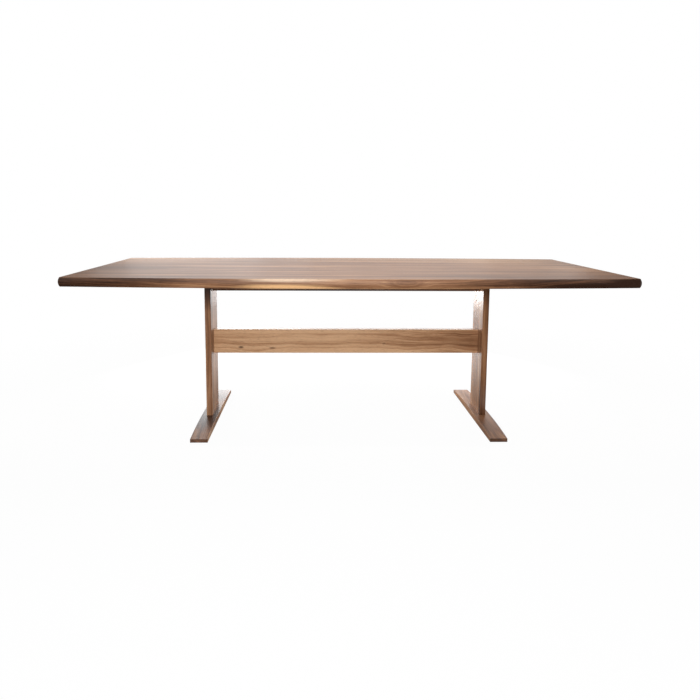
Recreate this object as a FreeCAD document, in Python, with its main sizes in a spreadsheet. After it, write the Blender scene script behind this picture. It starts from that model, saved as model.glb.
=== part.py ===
import FreeCAD, Part
import os
import re
import Sketcher

# Dining table: a boat-shaped top of edge-glued walnut boards on a trestle base of two leg planks,
# two feet, two bearers, a stretcher and an upper rail. Millimetres, +Z up, origin on the floor under
# the middle of the top, X along the table's length, the long front side towards -Y.

# Driving sizes
SIZES = {
    # Whole table
    "table_height": 750,
    "pad_thickness": 2,
    "pad_diameter": 32,
    "pad_inset": 42,
    # Top
    "top_length": 2400,
    "top_width_middle": 1108,
    "top_bow": 51.5,
    "top_thickness": 39,
    "edge_bulge": 5,
    # Feet, and the bearers that are cut the same way and turned over
    "foot_length": 758,
    "foot_width": 77,
    "foot_middle_thickness": 28,
    "foot_end_thickness": 15.5,
    "foot_landing_margin": 2,
    # Legs
    "leg_spacing": 1334,
    "leg_width": 186,
    "leg_thickness": 29,
    "leg_tenon_length": 12,
    "leg_tenon_side_shoulder": 18,
    "leg_tenon_face_shoulder": 5,
    # Stretcher and upper rail
    "stretcher_middle_height": 382.5,
    "stretcher_depth": 118,
    "stretcher_thickness": 36,
    "stretcher_tenon_length": 12,
    "stretcher_tenon_edge_shoulder": 13,
    "stretcher_tenon_face_shoulder": 8,
    "rail_depth": 78.5,
    "rail_thickness": 30,
    "rail_notch_clearance": 1,
    # Softened arrises and running fits of the joinery
    "arris_radius": 1.5,
    "tenon_clearance": 0.2,
    # Flat-head joint bolts with hexagon sockets, and their threaded inserts
    "bolt_diameter": 8,
    "bolt_hole_clearance": 1,
    "bolt_head_diameter": 17,
    "bolt_head_thickness": 2.5,
    "bolt_head_clearance": 1,
    "bolt_head_sink": 0.5,
    "bolt_socket_width": 5,
    "bolt_socket_depth": 5,
    "insert_diameter": 12,
    "insert_length": 20,
    "insert_bore_clearance": 0.2,
    "insert_hole_spare": 2,
    "leg_bolt_spacing": 100,
    "stretcher_bolt_spacing": 56,
    # Wood screws and washers under the top
    "screw_diameter": 6,
    "screw_head_diameter": 12,
    "screw_head_thickness": 4,
    "screw_point_length": 5,
    "screw_point_diameter": 1,
    "screw_bite": 24,
    "screw_hole_spare": 2,
    "screw_web": 12,
    "screw_slot_clearance": 1,
    "screw_slot_travel": 8,
    "screw_leg_distance": 57,
    "screw_end_distance": 59,
    "washer_diameter": 17,
    "washer_thickness": 1.6,
    "washer_bore_clearance": 0.6,
    "washer_slot_clearance": 2,
    "rail_screw_spacing": 400,
    "rail_screw_web": 30,
    "rail_screw_head_clearance": 2,
    # One overrun for every cutting tool
    "overrun": 10,
}

# Widths of the boards from the front to the back, as shares of the top's width in the middle
BOARD_WIDTH_SHARES = (0.189, 0.117, 0.116, 0.163, 0.133, 0.150, 0.132)

# Sizes worked out from the driving ones
DERIVED = {
    "top_underside": "table_height - top_thickness",
    "foot_top": "pad_thickness + foot_middle_thickness",
    "bearer_underside": "top_underside - foot_middle_thickness",
    "leg_length": "bearer_underside - foot_top",
    "leg_outer_face": "(leg_spacing + leg_thickness) / 2",
    "span": "leg_spacing - leg_thickness",
    "top_side_radius": "(top_length ^ 2 / 4 + top_bow ^ 2) / (2 * top_bow)",
    "top_side_centre": "top_side_radius - top_width_middle / 2",
    "edge_radius": "(top_thickness ^ 2 / 4 + edge_bulge ^ 2) / (2 * edge_bulge)",
    "foot_landing": "leg_width + 2 * foot_landing_margin",
    "foot_fall": "foot_middle_thickness - foot_end_thickness",
    "foot_slope_length": "(foot_length - foot_landing) / 2",
    "foot_arch_radius": "(foot_slope_length ^ 2 + foot_fall ^ 2) / (2 * foot_fall)",
    "leg_tenon_width": "leg_width - 2 * leg_tenon_side_shoulder",
    "leg_tenon_thickness": "leg_thickness - 2 * leg_tenon_face_shoulder",
    "stretcher_tenon_depth": "stretcher_depth - 2 * stretcher_tenon_edge_shoulder",
    "stretcher_tenon_thickness": "stretcher_thickness - 2 * stretcher_tenon_face_shoulder",
    "leg_mortise_depth": "leg_tenon_length + tenon_clearance",
    "stretcher_mortise_depth": "stretcher_tenon_length + tenon_clearance",
    "head_recess": "bolt_head_thickness + bolt_head_sink",
    "bolt_hole_diameter": "bolt_diameter + bolt_hole_clearance",
    "bolt_head_hole_diameter": "bolt_head_diameter + bolt_head_clearance",
    "insert_bore_diameter": "bolt_diameter + insert_bore_clearance",
    "leg_bolt_length": "foot_middle_thickness - leg_tenon_length - head_recess + insert_length",
    "stretcher_bolt_length": "leg_thickness - stretcher_tenon_length - head_recess + insert_length",
    "rail_bolt_length": "leg_thickness - head_recess + insert_length",
    "insert_hole_depth": "insert_length + insert_hole_spare",
    "top_screw_length": "washer_thickness + screw_web + screw_bite",
    "rail_screw_length": "rail_screw_web + screw_bite",
    "screw_hole_depth": "screw_bite + screw_hole_spare",
    "screw_slot_width": "screw_diameter + screw_slot_clearance",
    "screw_inner_offset": "leg_width / 2 + screw_leg_distance",
    "screw_outer_offset": "foot_length / 2 - screw_end_distance",
    "washer_bore_diameter": "screw_diameter + washer_bore_clearance",
    "washer_slot_width": "washer_diameter + washer_slot_clearance",
    "rail_screw_hole_diameter": "screw_head_diameter + rail_screw_head_clearance",
    "rail_bolt_drop": "(foot_middle_thickness + rail_depth) / 2",
    "rail_bolt_height": "top_underside - rail_bolt_drop",
}

# Ways that a cylinder's axis, a bolt or a whole piece is turned from +Z
UP = FreeCAD.Rotation()
DOWN = FreeCAD.Rotation(FreeCAD.Vector(0, 1, 0), 180)
TO_RIGHT = FreeCAD.Rotation(FreeCAD.Vector(0, 1, 0), 90)
TO_LEFT = FreeCAD.Rotation(FreeCAD.Vector(0, 1, 0), -90)
HALF_TURN = FreeCAD.Rotation(FreeCAD.Vector(0, 0, 1), 180)

# Each end of the table: its name, its sign along X, the turn of its leg and the way out along X
ENDS = (("left", "-1", HALF_TURN, TO_LEFT), ("right", "1", UP, TO_RIGHT))

# The two sides of the middle along Y, with their signs
SIDES = (("front", "-1"), ("back", "1"))

# Where screws go up into the top: along each bearer, and along the upper rail
BEARER_SCREWS = ("-screw_outer_offset", "-screw_inner_offset", "screw_inner_offset", "screw_outer_offset")
RAIL_SCREWS = ("-rail_screw_spacing", "0", "rail_screw_spacing")

doc = FreeCAD.newDocument("DiningTable")
sheet = doc.addObject("Spreadsheet::Sheet", "Sizes")
for row, (alias, number) in enumerate(SIZES.items(), start=1):
    sheet.set("A%d" % row, alias)
    sheet.set("B%d" % row, str(number))
    sheet.setAlias("B%d" % row, alias)
doc.recompute()


# Expressions and placing

def linked(text):
    """Write an expression with every size as the sheet's cell and every derived size spelt out."""
    def swap(found):
        word = found.group()
        if word in DERIVED:
            return "(" + linked(DERIVED[word]) + ")"
        if word in SIZES:
            return "Sizes." + word
        return word
    return re.sub(r"[a-z]\w+", swap, text)


def value(text):
    """Number that an expression of sizes has now."""
    found = sheet.evalExpression(linked(text).replace("Sizes.", ""))
    return float(getattr(found, "Value", found))


def add(kind, name, **expressions):
    """New object of the document whose properties follow expressions."""
    made = doc.addObject(kind, name)
    for key, text in expressions.items():
        made.setExpression(key, linked(text))
    return made


def place(made, x="0", y="0", z="0", turn=UP):
    """Turn an object and tie its position to expressions."""
    made.Placement = FreeCAD.Placement(FreeCAD.Vector(), turn)
    for axis, text in (("x", x), ("y", y), ("z", z)):
        made.setExpression(".Placement.Base." + axis, linked(text))
    return made


def block(name, wide, deep, high, x="0", y="0", z="0"):
    """Box with its middle at x and y and its lower face at z."""
    made = add("Part::Box", name, Length=wide, Width=deep, Height=high)
    return place(made, "(%s) - (%s) / 2" % (x, wide), "(%s) - (%s) / 2" % (y, deep), z)


def rod(name, diameter, length, x="0", y="0", z="0", turn=UP):
    """Cylinder that starts at x, y, z and runs the way that its turn gives."""
    made = add("Part::Cylinder", name, Radius="(%s) / 2" % diameter, Height=length)
    return place(made, x, y, z, turn)


def fuse(name, pieces):
    """One solid out of pieces that touch."""
    made = doc.addObject("Part::MultiFuse", name)
    made.Shapes = pieces
    made.Refine = True
    return made


def together(name, pieces):
    """Separate solids kept as one object."""
    made = doc.addObject("Part::Compound", name)
    made.Links = pieces
    return made


def cut(name, base, tools):
    """A base with every tool taken out of it."""
    made = doc.addObject("Part::Cut", name)
    made.Base = base
    made.Tool = together(name + "_tools", tools)
    return made


# Sketches

def sketch_on(body, name, role):
    """Empty sketch on one of the body's own origin planes."""
    sketch = body.newObject("Sketcher::SketchObject", name)
    plane = next(item for item in body.Origin.OriginFeatures if item.Role == role)
    sketch.AttachmentSupport = [(plane, "")]
    sketch.MapMode = "FlatFace"
    return sketch


def line(sketch, start, end):
    """Straight side between two points given as expressions; its number in the sketch."""
    points = [FreeCAD.Vector(value(point[0]), value(point[1]), 0) for point in (start, end)]
    return sketch.addGeometry(Part.LineSegment(*points), False)


def arc(sketch, start, middle, end):
    """Counter-clockwise arc through three points, from its point 1 to its point 2; its number."""
    points = [FreeCAD.Vector(value(point[0]), value(point[1]), 0) for point in (start, middle, end)]
    return sketch.addGeometry(Part.Arc(*points), False)


def rule(sketch, *words):
    """Geometric constraint."""
    sketch.addConstraint(Sketcher.Constraint(*words))


def measure(sketch, name, text, kind, *items):
    """Dimension that follows an expression."""
    number = sketch.addConstraint(Sketcher.Constraint(kind, *items, value(text)))
    sketch.renameConstraint(number, name)
    sketch.setExpression("Constraints." + name, linked(text))


def join(sketch, *corners):
    """Make the end of each side meet the start of the next one."""
    for one, one_end, other, other_end in corners:
        rule(sketch, "Coincident", one, one_end, other, other_end)


# How a sketch numbers its own axes, and the point of them that is its origin
X_AXIS_INDEX, Y_AXIS_INDEX, ORIGIN_INDEX = -1, -2, 1


def rectangle(sketch, wide, high):
    """Rectangle with its middle at the sketch's origin."""
    left, right = "-(%s) / 2" % wide, "(%s) / 2" % wide
    low, top = "-(%s) / 2" % high, "(%s) / 2" % high
    lower = line(sketch, (left, low), (right, low))
    far = line(sketch, (right, low), (right, top))
    upper = line(sketch, (right, top), (left, top))
    near = line(sketch, (left, top), (left, low))
    join(sketch, (lower, 2, far, 1), (far, 2, upper, 1), (upper, 2, near, 1), (near, 2, lower, 1))
    for side in (lower, upper):
        rule(sketch, "Horizontal", side)
    for side in (far, near):
        rule(sketch, "Vertical", side)
    rule(sketch, "Symmetric", lower, 1, upper, 1, X_AXIS_INDEX, ORIGIN_INDEX)
    measure(sketch, "wide", wide, "DistanceX", lower, 1, lower, 2)
    measure(sketch, "high", high, "DistanceY", far, 1, far, 2)


def edges_along(feature, axis):
    """Names of the straight edges of a feature that run along an axis."""
    names = []
    for number, edge in enumerate(feature.Shape.Edges, start=1):
        ends = [vertex.Point for vertex in edge.Vertexes]
        straight = edge.Curve.TypeId == "Part::GeomLine"
        if straight and (ends[1] - ends[0]).cross(axis).Length < edge.Length / 2:
            names.append("Edge%d" % number)
    return names


def plank(name, role, wide, high, length, both_ways):
    """Straight plank with its long arrises softened, padded from one of the origin planes."""
    body = doc.addObject("PartDesign::Body", name)
    sketch = sketch_on(body, name + "_section", role)
    rectangle(sketch, wide, high)
    pad = body.newObject("PartDesign::Pad", name + "_length")
    pad.Profile = sketch
    if both_ways:
        pad.SideType = "Symmetric"
    pad.setExpression("Length", linked(length))
    doc.recompute()
    softened = body.newObject("PartDesign::Fillet", name + "_arrises")
    softened.Base = (pad, edges_along(pad, sketch.Placement.Rotation.multVec(FreeCAD.Vector(0, 0, 1))))
    softened.setExpression("Radius", linked("arris_radius"))
    return body


# Top: one blank with bulged edges, sawn into its boards along the seams

def edge_waste(body, name, way):
    """Groove that bows one long side of the top and bulges its edge; way is -1 front, 1 back."""
    sketch = sketch_on(body, name + "_waste", "YZ_Plane")
    arris = "%s * (top_width_middle / 2 - edge_bulge)" % way
    crest = "%s * top_width_middle / 2" % way
    out = "%s * (top_width_middle / 2 + top_bow + overrun)" % way
    over = "top_thickness + overrun"
    under = "-overrun"
    rise = line(sketch, (arris, "top_thickness"), (arris, over))
    upper = line(sketch, (arris, over), (out, over))
    outer = line(sketch, (out, over), (out, under))
    lower = line(sketch, (out, under), (arris, under))
    fall = line(sketch, (arris, under), (arris, "0"))
    ends = [(arris, "top_thickness"), (crest, "top_thickness / 2"), (arris, "0")]
    if way == "1":
        ends.reverse()
    bulge = arc(sketch, *ends)
    arc_top, arc_foot = (2, 1) if way == "1" else (1, 2)
    join(sketch, (rise, 2, upper, 1), (upper, 2, outer, 1), (outer, 2, lower, 1),
         (lower, 2, fall, 1), (fall, 2, bulge, arc_foot), (bulge, arc_top, rise, 1))
    for side in (rise, outer, fall):
        rule(sketch, "Vertical", side)
    for side in (upper, lower):
        rule(sketch, "Horizontal", side)
    rule(sketch, "PointOnObject", bulge, arc_foot, X_AXIS_INDEX)
    rule(sketch, "Vertical", bulge, arc_foot, bulge, arc_top)
    measure(sketch, "thickness", "top_thickness", "DistanceY", bulge, arc_foot, bulge, arc_top)
    measure(sketch, "radius", "edge_radius", "Radius", bulge)
    measure(sketch, "over", "overrun", "DistanceY", rise, 1, rise, 2)
    measure(sketch, "under", "overrun", "DistanceY", fall, 1, fall, 2)
    half_width = "top_width_middle / 2 - edge_bulge"
    reach = "edge_bulge + top_bow + overrun"
    if way == "1":
        measure(sketch, "half_width", half_width, "DistanceX", X_AXIS_INDEX, ORIGIN_INDEX, bulge, arc_foot)
        measure(sketch, "reach", reach, "DistanceX", upper, 1, upper, 2)
    else:
        measure(sketch, "half_width", half_width, "DistanceX", bulge, arc_foot, X_AXIS_INDEX, ORIGIN_INDEX)
        measure(sketch, "reach", reach, "DistanceX", upper, 2, upper, 1)
    centre = "%s * -top_side_centre" % way
    axis = line(sketch, (centre, "0"), (centre, "top_thickness"))
    sketch.setConstruction(axis, True)
    rule(sketch, "Vertical", axis)
    rule(sketch, "PointOnObject", axis, 1, X_AXIS_INDEX)
    measure(sketch, "axis_length", "top_thickness", "DistanceY", axis, 1, axis, 2)
    if way == "1":
        measure(sketch, "centre", "top_side_centre", "DistanceX", axis, 1, X_AXIS_INDEX, ORIGIN_INDEX)
    else:
        measure(sketch, "centre", "top_side_centre", "DistanceX", X_AXIS_INDEX, ORIGIN_INDEX, axis, 1)
    groove = body.newObject("PartDesign::Groove", name + "_bow")
    groove.Profile = sketch
    groove.ReferenceAxis = (sketch, ["Axis0"])
    groove.Midplane = True
    groove.setExpression("Angle", linked("2 * asin((top_length / 2 + overrun) / top_side_radius)"))


def top_blank():
    """The whole top in one piece: straight bulged ends, bowed and bulged long sides."""
    body = doc.addObject("PartDesign::Body", "top_blank")
    sketch = sketch_on(body, "top_section", "XZ_Plane")
    half = "(top_length / 2 - edge_bulge)"
    crest = "(top_length / 2)"
    lower = line(sketch, ("-" + half, "0"), (half, "0"))
    right = arc(sketch, (half, "0"), (crest, "top_thickness / 2"), (half, "top_thickness"))
    upper = line(sketch, (half, "top_thickness"), ("-" + half, "top_thickness"))
    left = arc(sketch, ("-" + half, "top_thickness"), ("-" + crest, "top_thickness / 2"), ("-" + half, "0"))
    join(sketch, (lower, 2, right, 1), (right, 2, upper, 1), (upper, 2, left, 1), (left, 2, lower, 1))
    rule(sketch, "PointOnObject", lower, 1, X_AXIS_INDEX)
    rule(sketch, "Symmetric", lower, 1, lower, 2, Y_AXIS_INDEX)
    rule(sketch, "Symmetric", upper, 1, upper, 2, Y_AXIS_INDEX)
    measure(sketch, "lower_length", "top_length - 2 * edge_bulge", "DistanceX", lower, 1, lower, 2)
    measure(sketch, "upper_length", "top_length - 2 * edge_bulge", "DistanceX", upper, 2, upper, 1)
    measure(sketch, "thickness", "top_thickness", "DistanceY", lower, 2, upper, 1)
    measure(sketch, "right_bulge", "edge_radius", "Radius", right)
    measure(sketch, "left_bulge", "edge_radius", "Radius", left)
    pad = body.newObject("PartDesign::Pad", "top_width")
    pad.Profile = sketch
    pad.SideType = "Symmetric"
    pad.setExpression("Length", linked("top_width_middle + overrun"))
    edge_waste(body, "front", "-1")
    edge_waste(body, "back", "1")
    return body


def screw_places():
    """Every screw that goes up into the top: its x and its y as expressions."""
    places = []
    for name, way, turn, out in ENDS:
        places += [("%s * leg_spacing / 2" % way, offset) for offset in BEARER_SCREWS]
    return places + [(offset, "0") for offset in RAIL_SCREWS]


def make_top():
    """The boards, with blind holes for the screws from below."""
    holes = [rod("top_screw_hole_%d" % number, "screw_diameter", "screw_hole_depth + overrun",
                 x, y, "-overrun")
             for number, (x, y) in enumerate(screw_places(), start=1)]
    drilled = cut("drilled_top", top_blank(), holes)
    boards = []
    start = 0.0
    for number, share in enumerate(BOARD_WIDTH_SHARES, start=1):
        front = "top_width_middle * (%r)" % (start - sum(BOARD_WIDTH_SHARES) / 2)
        width = "top_width_middle * %r" % share
        start += share
        if number == 1:
            front += " - overrun"
        if number in (1, len(BOARD_WIDTH_SHARES)):
            width += " + overrun"
        saw = add("Part::Box", "board_%d_extent" % number, Length="top_length + 2 * overrun",
                  Width=width, Height="top_thickness + 2 * overrun")
        place(saw, "-top_length / 2 - overrun", front, "-overrun")
        board = doc.addObject("Part::Common", "top_board_%d" % number)
        board.Base = drilled
        board.Tool = saw
        boards.append(place(board, z="top_underside"))
    return boards


# Feet and bearers: the same arched bar, one lying on the floor pads and one turned over under the top

def arched_bar(name):
    """Bar along Y with a flat landing in the middle of its upper face, falling in an arc to each end."""
    body = doc.addObject("PartDesign::Body", name)
    sketch = sketch_on(body, name + "_outline", "YZ_Plane")
    end, land = "(foot_length / 2)", "(foot_landing / 2)"
    middle = "((foot_length / 2 + foot_landing / 2) / 2)"
    fall = "foot_arch_radius - sqrt(foot_arch_radius ^ 2 - foot_slope_length ^ 2 / 4)"
    height = "foot_middle_thickness - (%s)" % fall
    lower = line(sketch, ("-" + end, "0"), (end, "0"))
    back = line(sketch, (end, "0"), (end, "foot_end_thickness"))
    back_slope = arc(sketch, (end, "foot_end_thickness"), (middle, height), (land, "foot_middle_thickness"))
    landing = line(sketch, (land, "foot_middle_thickness"), ("-" + land, "foot_middle_thickness"))
    front_slope = arc(sketch, ("-" + land, "foot_middle_thickness"), ("-" + middle, height),
                      ("-" + end, "foot_end_thickness"))
    front = line(sketch, ("-" + end, "foot_end_thickness"), ("-" + end, "0"))
    join(sketch, (lower, 2, back, 1), (back, 2, back_slope, 1), (back_slope, 2, landing, 1),
         (landing, 2, front_slope, 1), (front_slope, 2, front, 1), (front, 2, lower, 1))
    rule(sketch, "PointOnObject", lower, 1, X_AXIS_INDEX)
    rule(sketch, "Symmetric", lower, 1, lower, 2, Y_AXIS_INDEX)
    rule(sketch, "Symmetric", landing, 1, landing, 2, Y_AXIS_INDEX)
    for side in (front, back):
        rule(sketch, "Vertical", side)
    measure(sketch, "length", "foot_length", "DistanceX", lower, 1, lower, 2)
    measure(sketch, "landing", "foot_landing", "DistanceX", landing, 2, landing, 1)
    measure(sketch, "landing_height", "foot_middle_thickness", "DistanceY", lower, 1, landing, 1)
    measure(sketch, "back_height", "foot_end_thickness", "DistanceY", back, 1, back, 2)
    measure(sketch, "front_height", "foot_end_thickness", "DistanceY", front, 2, front, 1)
    measure(sketch, "back_arch", "foot_arch_radius", "Radius", back_slope)
    measure(sketch, "front_arch", "foot_arch_radius", "Radius", front_slope)
    pad = body.newObject("PartDesign::Pad", name + "_width")
    pad.Profile = sketch
    pad.SideType = "Symmetric"
    pad.setExpression("Length", linked("foot_width"))
    return body


def bar_cuts(name):
    """Mortise for the leg's tenon in the landing, and the holes of the two leg bolts from the flat face."""
    tools = [block(name + "_mortise", "leg_tenon_thickness + 2 * tenon_clearance",
                   "leg_tenon_width + 2 * tenon_clearance", "leg_mortise_depth + overrun",
                   z="foot_middle_thickness - leg_mortise_depth")]
    for word, way in SIDES:
        y = "%s * leg_bolt_spacing / 2" % way
        tools.append(rod("%s_%s_bolt_hole" % (name, word), "bolt_hole_diameter",
                         "foot_middle_thickness + overrun", y=y))
        tools.append(rod("%s_%s_head_hole" % (name, word), "bolt_head_hole_diameter",
                         "head_recess + overrun", y=y, z="-overrun"))
    return tools


def slot(name, width, travel, length, y, z):
    """Slot along Y through length of height, for a round of its width to travel in."""
    ends = [rod("%s_%s" % (name, word), width, length, y="(%s) %s (%s) / 2" % (y, sign, travel), z=z)
            for word, sign in (("front", "-"), ("back", "+"))]
    return fuse(name, ends + [block(name + "_middle", width, travel, length, y=y, z=z)])


def slot_cuts(name):
    """Slots of the four top screws, and the wider ones that take their washers and heads."""
    tools = []
    for number, offset in enumerate(BEARER_SCREWS, start=1):
        tools.append(slot("%s_slot_%d" % (name, number), "screw_slot_width", "screw_slot_travel",
                          "foot_middle_thickness + overrun", offset, "-overrun"))
        tools.append(slot("%s_washer_slot_%d" % (name, number), "washer_slot_width", "screw_slot_travel",
                          "foot_middle_thickness", offset, "screw_web"))
    return tools


def make_feet():
    """A foot and a bearer for each end."""
    made = []
    for name, way, turn, out in ENDS:
        x = "%s * leg_spacing / 2" % way
        foot = "foot_" + name
        made.append(place(cut(foot, arched_bar(foot + "_blank"), bar_cuts(foot)), x, z="pad_thickness"))
        bearer = "bearer_" + name
        tools = bar_cuts(bearer) + slot_cuts(bearer)
        made.append(place(cut(bearer, arched_bar(bearer + "_blank"), tools), x,
                          z="top_underside", turn=DOWN))
    return made


# Legs

def make_leg(name):
    """Upright plank with two stub tenons; x points out of the table, z is 0 at the lower shoulder."""
    body = plank(name + "_blank", "XY_Plane", "leg_thickness", "leg_width", "leg_length", False)
    tenons = block(name + "_tenons", "leg_tenon_thickness", "leg_tenon_width",
                   "leg_length + 2 * leg_tenon_length", z="-leg_tenon_length")
    blank = fuse(name + "_tenoned", [body, tenons])
    middle = "(stretcher_middle_height - foot_top)"
    mortise_depth = "(stretcher_tenon_depth + 2 * tenon_clearance)"
    tools = [block(name + "_mortise", "stretcher_mortise_depth + overrun",
                   "stretcher_tenon_thickness + 2 * tenon_clearance", mortise_depth,
                   x="-leg_thickness / 2 + (stretcher_mortise_depth - overrun) / 2",
                   z="%s - %s / 2" % (middle, mortise_depth))]
    sideways = [("lower", "%s - stretcher_bolt_spacing / 2" % middle),
                ("upper", "%s + stretcher_bolt_spacing / 2" % middle),
                ("rail", "rail_bolt_height - foot_top")]
    for word, z in sideways:
        tools.append(rod("%s_%s_bolt_hole" % (name, word), "bolt_hole_diameter",
                         "leg_thickness + 2 * overrun", "-leg_thickness / 2 - overrun", "0", z, TO_RIGHT))
        tools.append(rod("%s_%s_head_hole" % (name, word), "bolt_head_hole_diameter",
                         "head_recess + overrun", "leg_thickness / 2 - head_recess", "0", z, TO_RIGHT))
    for word, way in SIDES:
        y = "%s * leg_bolt_spacing / 2" % way
        tools.append(rod("%s_%s_foot_insert_hole" % (name, word), "insert_diameter",
                         "insert_hole_depth + overrun", y=y, z="-leg_tenon_length - overrun"))
        tools.append(rod("%s_%s_bearer_insert_hole" % (name, word), "insert_diameter",
                         "insert_hole_depth + overrun", y=y,
                         z="leg_length + leg_tenon_length - insert_hole_depth"))
    return cut(name, blank, tools)


def make_legs():
    """The two legs, their outer faces with the bolt heads away from each other."""
    return [place(make_leg("leg_" + name), "%s * leg_spacing / 2" % way, z="foot_top", turn=turn)
            for name, way, turn, out in ENDS]


# Stretcher and upper rail

def make_stretcher():
    """Board on edge between the legs with a stub tenon and two inserts at each end."""
    name = "stretcher"
    body = plank(name + "_blank", "YZ_Plane", "stretcher_thickness", "stretcher_depth", "span", True)
    tenons = block(name + "_tenons", "span + 2 * stretcher_tenon_length", "stretcher_tenon_thickness",
                   "stretcher_tenon_depth", z="-stretcher_tenon_depth / 2")
    tools = []
    for word, way, turn, out in ENDS:
        for level, sign in (("lower", "-"), ("upper", "")):
            tools.append(rod("%s_%s_%s_insert_hole" % (name, word, level), "insert_diameter",
                             "insert_hole_depth + overrun",
                             "%s * (span / 2 + stretcher_tenon_length - insert_hole_depth)" % way,
                             "0", sign + "stretcher_bolt_spacing / 2", out))
    made = cut(name, fuse(name + "_tenoned", [body, tenons]), tools)
    return place(made, z="stretcher_middle_height")


def make_rail():
    """Board on edge under the top, notched round the bearers; z is measured from its middle."""
    name = "upper_rail"
    body = plank(name + "_blank", "YZ_Plane", "rail_thickness", "rail_depth", "span", True)
    tools = []
    for word, way, turn, out in ENDS:
        notch = "((foot_width - leg_thickness) / 2 + rail_notch_clearance)"
        tools.append(block("%s_%s_notch" % (name, word), "%s + overrun" % notch,
                           "rail_thickness + 2 * overrun",
                           "foot_middle_thickness + rail_notch_clearance + overrun",
                           x="%s * (span / 2 + (overrun - %s) / 2)" % (way, notch),
                           z="rail_depth / 2 - foot_middle_thickness - rail_notch_clearance"))
        tools.append(rod("%s_%s_insert_hole" % (name, word), "insert_diameter",
                         "insert_hole_depth + overrun", "%s * (span / 2 - insert_hole_depth)" % way,
                         "0", "rail_depth / 2 - rail_bolt_drop", out))
    for number, x in enumerate(RAIL_SCREWS, start=1):
        tools.append(rod("%s_screw_hole_%d" % (name, number), "screw_slot_width", "rail_depth + 2 * overrun",
                         x, z="-rail_depth / 2 - overrun"))
        tools.append(rod("%s_screw_head_hole_%d" % (name, number), "rail_screw_hole_diameter",
                         "rail_depth - rail_screw_web + overrun", x, z="-rail_depth / 2 - overrun"))
    return place(cut(name, body, tools), z="top_underside - rail_depth / 2")


# Bolts, inserts, screws, washers and floor pads

def bolt(name, length):
    """Flat-head joint bolt: the head's outer face at z 0, the shank down below it, a hexagon socket."""
    head = rod(name + "_head", "bolt_head_diameter", "bolt_head_thickness", z="-bolt_head_thickness")
    shank = rod(name + "_shank", "bolt_diameter", "(%s) + bolt_head_thickness" % length,
                z="-bolt_head_thickness - (%s)" % length)
    socket = add("Part::Prism", name + "_socket", Circumradius="bolt_socket_width / sqrt(3)",
                 Height="bolt_socket_depth + overrun")
    place(socket, z="-bolt_socket_depth")
    return cut(name, fuse(name + "_solid", [head, shank]), [socket])


def insert(name):
    """Threaded insert: a sleeve whose mouth is at z 0 and which runs down from there."""
    sleeve = rod(name + "_sleeve", "insert_diameter", "insert_length", z="-insert_length")
    bore = rod(name + "_bore", "insert_bore_diameter", "insert_length + 2 * overrun",
               z="-insert_length - overrun")
    return cut(name, sleeve, [bore])


def screw(name, length):
    """Pan-head wood screw: the underside of its head at z 0, its shank and point above."""
    head = rod(name + "_head", "screw_head_diameter", "screw_head_thickness", z="-screw_head_thickness")
    shank = rod(name + "_shank", "screw_diameter", "(%s) - screw_point_length" % length)
    point = add("Part::Cone", name + "_point", Radius1="screw_diameter / 2",
                Radius2="screw_point_diameter / 2", Height="screw_point_length")
    place(point, z="(%s) - screw_point_length" % length)
    return fuse(name, [head, shank, point])


def washer(name):
    """Flat washer lying on z 0."""
    disc = rod(name + "_disc", "washer_diameter", "washer_thickness")
    bore = rod(name + "_bore", "washer_bore_diameter", "washer_thickness + 2 * overrun", z="-overrun")
    return cut(name, disc, [bore])


def leg_end_fixings(end, x, name, face, mouth, turn):
    """Two bolts and two inserts between a leg and its foot or bearer; face is the bar's flat face."""
    bolts = []
    inserts = []
    sink = "bolt_head_sink" if turn == DOWN else "-bolt_head_sink"
    for word, way in SIDES:
        y = "%s * leg_bolt_spacing / 2" % way
        bolts.append(place(bolt("%s_%s_%s_bolt" % (end, name, word), "leg_bolt_length"),
                           x, y, "%s + %s" % (face, sink), turn))
        inserts.append(place(insert("%s_%s_%s_insert" % (end, name, word)), x, y, mouth, turn))
    return [together("%s_bolts_%s" % (name, end), bolts), together("%s_inserts_%s" % (name, end), inserts)]


def make_fixings():
    """All bolts and inserts, one object for each group of identical ones at each end."""
    made = []
    for end, way, turn, out in ENDS:
        x = "%s * leg_spacing / 2" % way
        made += leg_end_fixings(end, x, "foot", "pad_thickness", "foot_top - leg_tenon_length", DOWN)
        made += leg_end_fixings(end, x, "bearer", "top_underside", "bearer_underside + leg_tenon_length", UP)
        outer = "%s * (leg_outer_face - bolt_head_sink)" % way
        bolts = []
        inserts = []
        for level, sign in (("lower", "-"), ("upper", "+")):
            z = "stretcher_middle_height %s stretcher_bolt_spacing / 2" % sign
            bolts.append(place(bolt("%s_stretcher_%s_bolt" % (end, level), "stretcher_bolt_length"),
                               outer, "0", z, out))
            inserts.append(place(insert("%s_stretcher_%s_insert" % (end, level)),
                                 "%s * (span / 2 + stretcher_tenon_length)" % way, "0", z, out))
        made.append(together("stretcher_bolts_" + end, bolts))
        made.append(together("stretcher_inserts_" + end, inserts))
        made.append(place(bolt("rail_bolt_" + end, "rail_bolt_length"), outer, "0", "rail_bolt_height", out))
        made.append(place(insert("rail_insert_" + end), "%s * span / 2" % way, "0", "rail_bolt_height", out))
    return made


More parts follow.
